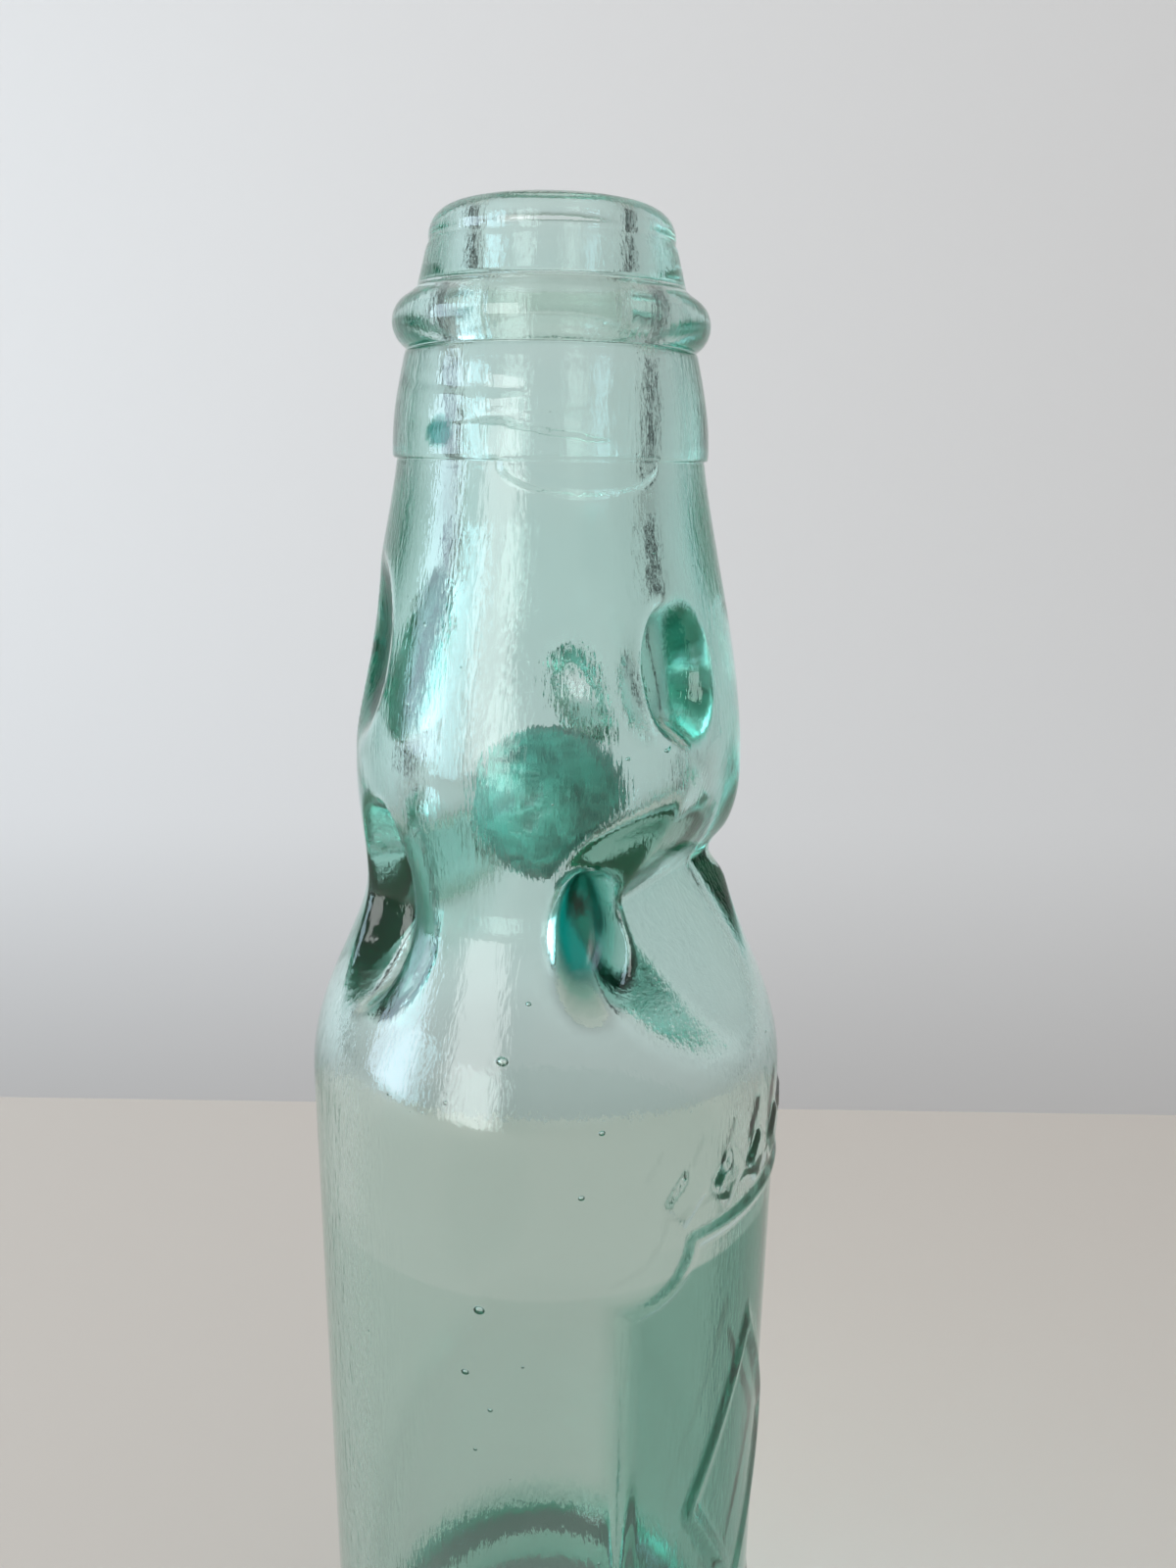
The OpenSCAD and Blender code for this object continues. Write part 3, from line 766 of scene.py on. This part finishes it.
# %% [markdown]
# ## The rubber ring
#
# A rubber ring lies in a groove inside the bead, and the gas presses the marble against
# its round inner side. It could be a torus, but the ring fills its groove with a flat back.
# So its section, a half round and a flat back with broken corners, is turned round the
# axis.

# %% Ring
RING_NOSE, RING_BACK, RING_EDGE, RING_COLS = 10.2, 12.3, 0.15, 160


def make_ring():
    """The ring: each point of the section is (r cos a, r sin a, z), closed both ways round."""
    middle, top = RING_Z + RING_H / 2, RING_Z + RING_H
    nose = arc((RING_NOSE, middle), RING_H / 2, 90, 270, 15)
    back = np.array([
        [RING_BACK - RING_EDGE, RING_Z], [RING_BACK, RING_Z + RING_EDGE],
        [RING_BACK, top - RING_EDGE], [RING_BACK - RING_EDGE, top]])
    section = np.concatenate([nose, back])
    a = np.linspace(0, 2 * math.pi, RING_COLS, endpoint=False)
    rows, cols = len(section), len(a)
    x, y = section[:, :1] * np.cos(a), section[:, :1] * np.sin(a)
    z = np.repeat(section[:, 1:], cols, 1)
    i, j = np.meshgrid(np.arange(rows), np.arange(cols), indexing="ij")
    m, n = (i + 1) % rows, (j + 1) % cols
    quads = np.stack([i * cols + j, i * cols + n, m * cols + n, m * cols + j], 2)
    points = np.stack([x, y, z], 2).reshape(-1, 3)
    made = new_piece("rubber_ring", points, quads.reshape(-1, 4).tolist())
    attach(made, "bottle")
    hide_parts("seal_ring")
    return made


ring = make_ring()
print("ring:", [round(v / MM, 2) for v in ring.dimensions], "mm,", triangles(ring), "triangles")

# %% [markdown]
# ## Helpers for the materials
#
# Every finish here is worked out by nodes and needs no image. The same steps come back in
# each: noise that stays with the piece, a value turned into a colour or another range, and
# a height that bends the normals. Each is one helper, so that a material's own function
# reads as its list of ingredients.

# %% Helpers for the materials
def new_material(name):
    """A material with its node tree, principled shader and output."""
    made = bpy.data.materials.new(name)
    made.use_nodes = True
    tree = made.node_tree
    return made, tree, tree.nodes["Principled BSDF"], tree.nodes["Material Output"]


def set_inputs(node, **values):
    """Sets a node's inputs by name, where an underscore stands for a space."""
    for name, value in values.items():
        node.inputs[name.replace("_", " ")].default_value = value


def noise(tree, scale, detail, distortion=0.0, squeeze=(1, 1, 1)):
    """Noise over the piece's own coordinates, which are first multiplied by squeeze."""
    place = tree.nodes.new("ShaderNodeTexCoord")
    mapping = tree.nodes.new("ShaderNodeMapping")
    set_inputs(mapping, Scale=squeeze)
    made = tree.nodes.new("ShaderNodeTexNoise")
    set_inputs(made, Scale=scale, Detail=detail, Distortion=distortion)
    tree.links.new(place.outputs["Object"], mapping.inputs["Vector"])
    tree.links.new(mapping.outputs["Vector"], made.inputs["Vector"])
    return made.outputs["Fac"]


def colour_ramp(tree, value, *stops):
    """Turns a value into a colour that runs evenly between stops of position and colour."""
    ramp = tree.nodes.new("ShaderNodeValToRGB")
    elements = ramp.color_ramp.elements
    for position, _ in stops[1:-1]:
        elements.new(position)
    for element, (position, colour) in zip(elements, stops):
        element.position, element.color = position, (*colour, 1)
    tree.links.new(value, ramp.inputs["Fac"])
    return ramp.outputs["Color"]


def new_range(tree, value, low, high, to_low, to_high):
    """Brings a value evenly from low..high to to_low..to_high, and keeps it in there."""
    made = tree.nodes.new("ShaderNodeMapRange")
    set_inputs(made, From_Min=low, From_Max=high, To_Min=to_low, To_Max=to_high)
    tree.links.new(value, made.inputs["Value"])
    return made.outputs["Result"]


def bend_normals(tree, shader, height, depth):
    """Bends the normals by a height between 0 and 1 that stands for depth millimetres."""
    bump = tree.nodes.new("ShaderNodeBump")
    set_inputs(bump, Strength=1, Distance=depth * MM)
    tree.links.new(height, bump.inputs["Height"])
    tree.links.new(bump.outputs["Normal"], shader.inputs["Normal"])


print("helpers for noise, colours, ranges and normals are ready")

# %% [markdown]
# ## Ripples in the glass
#
# Glass that was blown into an iron mould is never flat: long ripples run up it, and finer
# marks lie over them. They are a few hundredths of a millimetre high, far below what the
# skin's grid can hold, so they are bump. Two noises are stretched upwards and mixed. On
# the body, which only the mould shaped, they are fainter than on shoulder, neck and lip.

# %% Ripples
# Scale of the long ripples and of the fine marks, and how much both are stretched upwards
RIPPLE_SCALES, RIPPLE_STRETCH = (850, 2400), (1, 1, 0.2)
# Heights in metres between which the ripples grow, and their share below
CALM_BELOW, LIVELY_ABOVE, CALM = 0.112, 0.15, 0.45


def ripple_group():
    """A node group that puts out the height of gathered glass, between 0 and 1.

    It is the mean of two noises times a share that grows from 0.45 to 1 up the shoulder."""
    group = bpy.data.node_groups.new("glass_ripples", "ShaderNodeTree")
    group.interface.new_socket("Height", in_out="OUTPUT", socket_type="NodeSocketFloat")
    long_ones, fine_ones = (noise(group, s, 2, squeeze=RIPPLE_STRETCH) for s in RIPPLE_SCALES)
    mix = group.nodes.new("ShaderNodeMix")
    set_inputs(mix, Factor=0.5)
    group.links.new(long_ones, mix.inputs["A"])
    group.links.new(fine_ones, mix.inputs["B"])
    place = group.nodes.new("ShaderNodeTexCoord")
    parts = group.nodes.new("ShaderNodeSeparateXYZ")
    group.links.new(place.outputs["Object"], parts.inputs["Vector"])
    upwards = new_range(group, parts.outputs["Z"], CALM_BELOW, LIVELY_ABOVE, CALM, 1.0)
    scaled = group.nodes.new("ShaderNodeMath")
    scaled.operation = "MULTIPLY"
    group.links.new(upwards, scaled.inputs[0])
    group.links.new(mix.outputs["Result"], scaled.inputs[1])
    out = group.nodes.new("NodeGroupOutput")
    group.links.new(scaled.outputs["Value"], out.inputs["Height"])
    return group


RIPPLES = ripple_group()
print("ripples:", len(RIPPLES.nodes), "nodes in", RIPPLES.name)

# %% [markdown]
# ## Blue-green glass
#
# Iron in the sand makes such glass blue-green. Thin glass is nearly clear, and the thick
# bottom and the pits are deep teal. A colour on the surface alone would make both the
# same, so the glass absorbs light inside: the share that is left after d metres is
# `exp(-density (1 - colour) d)`, for red, green and blue. The skin's own tint and its
# painted shade in panel, pits and lugs add to it by the base colour, which stains light
# where it enters and where it leaves. It also makes the deepest places a little rough, so
# that they don't mirror the room.

# %% Blown glass
GLASS_IOR = 1.52
GLASS_COLOUR, GLASS_DENSITY = (0.04, 0.69, 0.57), 27
# Base colours as the value goes from 0 to 1: clear glass, the middle, and the deepest painted shade
# of pits and lugs
THIN, MIDDLE, DEEP_SHADE = (0.97, 0.99, 0.98), (0.24, 0.54, 0.45), (0.0, 0.14, 0.1)
RIPPLE_DEPTH, DEEP_ROUGHNESS = 0.08, 0.26


def glass_material(name, colour, density, roughness):
    """Clear glass that absorbs light: exp(-density (1 - colour) d) is left after d metres."""
    made, tree, shader, output = new_material(name)
    shader.inputs["Transmission Weight"].default_value = 1
    set_inputs(shader, Base_Color=(1, 1, 1, 1), Roughness=roughness, IOR=GLASS_IOR)
    absorb = tree.nodes.new("ShaderNodeVolumeAbsorption")
    set_inputs(absorb, Color=(*colour, 1), Density=density)
    tree.links.new(absorb.outputs[0], output.inputs["Volume"])
    return made, tree, shader


def blown_material():
    """The bottle's glass: absorption, ripples, and base colour and roughness by tint and shade.

    The base colour runs from thin over middle to the deep painted shade as the value goes
    from 0 over 0.5 to 1, and the roughness grows from 0 to 0.26 in its upper half."""
    made, tree, shader = glass_material("blown_glass", GLASS_COLOUR, GLASS_DENSITY, 0.0)
    ripples = tree.nodes.new("ShaderNodeGroup")
    ripples.node_tree = RIPPLES
    bend_normals(tree, shader, ripples.outputs["Height"], RIPPLE_DEPTH)
    tint_and_shade = tree.nodes.new("ShaderNodeAttribute")
    tint_and_shade.attribute_name = "tint_and_painted_shade"
    colour = colour_ramp(tree, tint_and_shade.outputs["Fac"], (0.0, THIN), (0.5, MIDDLE), (1.0, DEEP_SHADE))
    tree.links.new(colour, shader.inputs["Base Color"])
    wear = new_range(tree, tint_and_shade.outputs["Fac"], 0.5, 1.0, 0.0, DEEP_ROUGHNESS)
    tree.links.new(wear, shader.inputs["Roughness"])
    return made


glass.data.materials.append(blown_material())
print("10 mm of this glass leaves",
      [round(math.exp(-GLASS_DENSITY * (1 - c) * 0.01), 2) for c in GLASS_COLOUR])

# %% [markdown]
# ## Scuffed glass of the marble
#
# The marble has struck the jaws and the lugs thousands of times, so its skin is dull and
# clouded in patches, and its glass is deeper in colour than the bottle's. Clear glass with
# scratches on it would still show what lies behind. So only half of it is clear, the other
# half is a cloudy surface in two greens, and the clouds also lift the surface a little.

# %% Marble glass
MARBLE_COLOUR, MARBLE_DENSITY, MARBLE_ROUGHNESS, MARBLE_CLEAR = (0.05, 0.6, 0.45), 40, 0.35, 0.5
CLOUD_SCALE, CLOUD_DETAIL, CLOUD_SWIRL, CLOUD_DEPTH = 260, 6, 1.2, 0.9
DARK_GREEN, PALE_GREEN = (0.004, 0.14, 0.105), (0.13, 0.68, 0.54)


def marble_material():
    """Half clear, half cloudy glass: noise of swirled clouds gives colour and height."""
    made, tree, shader = glass_material(
        "marble_glass", MARBLE_COLOUR, MARBLE_DENSITY, MARBLE_ROUGHNESS)
    shader.inputs["Transmission Weight"].default_value = MARBLE_CLEAR
    clouds = noise(tree, CLOUD_SCALE, CLOUD_DETAIL, CLOUD_SWIRL)
    colour = colour_ramp(tree, clouds, (0.32, DARK_GREEN), (0.72, PALE_GREEN))
    tree.links.new(colour, shader.inputs["Base Color"])
    bend_normals(tree, shader, clouds, CLOUD_DEPTH)
    return made


marble.data.materials.append(marble_material())
print("marble:", marble.active_material.name, "with patches of", round(1000 / CLOUD_SCALE, 1), "mm")

# %% [markdown]
# ## Rubber of the ring
#
# The ring is there to seal, and in the bottle it can hardly be made out. A grey or black
# one would cover what the glass shows. So the rubber is pale, nearly clear and bends light
# only slightly, with a bloom in patches that changes its colour, gloss and surface.

# %% Ring rubber
RUBBER_CLEAR, RUBBER_IOR = 0.97, 1.15
BLOOM_SCALE, BLOOM_DETAIL, BLOOM_DEPTH = 400, 4, 0.03
PALE_RUBBER, BLOOMED_RUBBER = (0.78, 0.84, 0.78), (0.94, 0.96, 0.94)
GLOSSY, BLOOMED = 0.04, 0.2


def rubber_material():
    """Pale, nearly clear rubber, with one noise for its colour, roughness and height."""
    made, tree, shader, _ = new_material("ring_rubber")
    shader.inputs["Transmission Weight"].default_value = RUBBER_CLEAR
    set_inputs(shader, IOR=RUBBER_IOR)
    bloom = noise(tree, BLOOM_SCALE, BLOOM_DETAIL)
    colour = colour_ramp(tree, bloom, (0.0, PALE_RUBBER), (1.0, BLOOMED_RUBBER))
    tree.links.new(colour, shader.inputs["Base Color"])
    roughness = new_range(tree, bloom, 0, 1, GLOSSY, BLOOMED)
    tree.links.new(roughness, shader.inputs["Roughness"])
    bend_normals(tree, shader, bloom, BLOOM_DEPTH)
    return made


ring.data.materials.append(rubber_material())
print("ring:", ring.active_material.name)

# %% [markdown]
# ## The camera
#
# A phone's wide lens stood about 150 mm from the bottle, 199 mm above the table, pitched
# down 15.5 degrees and rolled a little. Its focal length is 1202 pixels on a picture that
# is 1600 pixels tall. It could be aimed at a target, but then its roll would be lost, so
# its three axes are worked out from the direction, the pitch and the roll.

# %% Camera
AHEAD = Vector((0.8616, 0.5075, 0.0)).normalized()
RIGHT = Vector((AHEAD.y, -AHEAD.x, 0.0))
UP = Vector((0, 0, 1))
PITCH, ROLL = math.radians(15.5), math.radians(-0.89)
FOCAL, PICTURE, SENSOR = 1202, 1600, 36
# How far to the right of the axis, in front of it and above the table it stands
CAMERA_RIGHT, CAMERA_AWAY, CAMERA_UP = 0.005, 0.146, 0.199


def make_camera():
    """The camera: look = ahead cos(pitch) - up sin(pitch), then turned by the roll."""
    look = AHEAD * math.cos(PITCH) - UP * math.sin(PITCH)
    over = RIGHT.cross(look)
    side = RIGHT * math.cos(ROLL) - over * math.sin(ROLL)
    top = RIGHT * math.sin(ROLL) + over * math.cos(ROLL)
    data = bpy.data.cameras.new("camera")
    data.sensor_width = SENSOR
    data.lens = SENSOR * FOCAL / PICTURE
    data.clip_start = 0.01
    made = bpy.data.objects.new("camera", data)
    bpy.context.collection.objects.link(made)
    turn = Matrix((side, top, -look)).transposed()
    place = RIGHT * CAMERA_RIGHT - AHEAD * CAMERA_AWAY + UP * CAMERA_UP
    made.matrix_world = Matrix.Translation(place) @ turn.to_4x4()
    bpy.context.scene.camera = made
    return made


camera = make_camera()
print("camera at", [round(v / MM) for v in camera.location], "mm, lens", round(camera.data.lens, 1))

# %% [markdown]
# ## Table and wall
#
# The bottle stands on a pale table, whose far edge runs level behind it, and a pale wall
# is further back. Glass shows its surroundings, so both are larger than the picture. They
# could be one bent backdrop, but then the level edge behind the glass would be missing.

# %% Table and wall
def sheet(name, corner, along, up, colour):
    """A flat sheet of the studio: corner, corner + along, corner + along + up, corner + up."""
    corner, along, up = map(Vector, (corner, along, up))
    corners = [corner, corner + along, corner + along + up, corner + up]
    mesh = bpy.data.meshes.new(name)
    mesh.from_pydata(corners, [], [(0, 1, 2, 3)])
    made = bpy.data.objects.new(name, mesh)
    bpy.context.collection.objects.link(made)
    material, _, shader, _ = new_material(name)
    set_inputs(shader, Base_Color=(*colour, 1), Roughness=0.8)
    made.data.materials.append(material)
    return made


# Metres: the table's far edge behind the axis, its width and length, then the wall's
# distance behind the axis, its width, how far it goes down below the table, its height
TABLE_EDGE, TABLE_W, TABLE_L = 0.188, 3, 2
WALL_AWAY, WALL_W, WALL_DOWN, WALL_H = 0.5, 4, 1, 3
table = sheet(
    "table", AHEAD * TABLE_EDGE - RIGHT * (TABLE_W / 2) - AHEAD * TABLE_L,
    RIGHT * TABLE_W, AHEAD * TABLE_L, (0.66, 0.605, 0.55))
wall = sheet(
    "wall", AHEAD * WALL_AWAY - RIGHT * (WALL_W / 2) - UP * WALL_DOWN,
    RIGHT * WALL_W, UP * WALL_H, (0.79, 0.775, 0.765))
print("stage:", table.name, "and", wall.name)

# %% [markdown]
# ## Light
#
# The room's light is soft: a white window at the left of the camera, a blue sky further
# left that gives the glass its cool streak, and a pale ceiling. A lamp with a small face
# would leave hard spots, so all three are large area lights. Glass also shows what is dark
# in a room, as upright lines in lip and neck. Two narrow dark cards stand for it. They are
# seen only in the glass: the camera doesn't see them, and they cast no shadow.

# %% Lights
LIGHT_AIM = UP * 0.15


def outwards(azimuth, elevation=0.0):
    """Direction from the bottle: azimuth 0 is the camera's, and it grows to its right."""
    a, e = math.radians(azimuth), math.radians(elevation)
    return (-AHEAD * math.cos(a) + RIGHT * math.sin(a)) * math.cos(e) + UP * math.sin(e)


def panel_light(name, azimuth, elevation, distance, size, power, colour):
    """A soft light at aim + direction times distance, which looks back along it."""
    out = outwards(azimuth, elevation)
    data = bpy.data.lights.new(name, "AREA")
    data.shape = "RECTANGLE"
    data.size, data.size_y = size
    data.energy, data.color = power, colour
    made = bpy.data.objects.new(name, data)
    bpy.context.collection.objects.link(made)
    made.location = out * distance + LIGHT_AIM
    made.rotation_euler = out.to_track_quat("Z", "Y").to_euler()
    return made


lights = [
    panel_light("window", -34, 9, 1.0, (0.45, 0.6), 3.7, (1, 1, 1)),
    panel_light("sky_window", -76, 10, 1.0, (0.45, 0.6), 5.2, (0.66, 0.84, 1)),
    panel_light("ceiling", 0, 80, 1.2, (1.5, 1.0), 2.2, (1, 0.99, 0.98))]
print("lights:", {light.name: round(light.data.energy, 1) for light in lights})


# %% Dark cards
def dark_card(name, azimuth, distance=0.9, width=0.18, height=0.8):
    """A narrow dark card beside the bottle, across its direction, seen only in the glass."""
    out = outwards(azimuth)
    across = out.cross(UP)
    corner = out * distance - across * width / 2
    made = sheet(name, corner, across * width, UP * height, (0.03, 0.035, 0.035))
    made.visible_camera = False
    made.visible_diffuse = False
    made.visible_shadow = False
    return made


cards = [dark_card("dark_left", -114), dark_card("dark_right", 114)]
print("cards:", [card.name for card in cards])

# %% [markdown]
# ## Room light and bounces
#
# A grey world fills the room. A ray on its way through the bottle meets the skin many
# times, and light that is thrown back inside the wall counts as gloss, so both kinds of
# bounce get a high limit. With few bounces the thick glass would turn black.

# %% Room light and bounces
world = bpy.data.worlds.new("room")
world.use_nodes = True
set_inputs(world.node_tree.nodes["Background"], Color=(0.5, 0.5, 0.5, 1))
scene = bpy.context.scene
scene.world = world
scene.view_settings.view_transform = "Standard"
scene.cycles.max_bounces = 80
scene.cycles.transmission_bounces = 64
scene.cycles.glossy_bounces = 48
print("bounces:", scene.cycles.max_bounces)
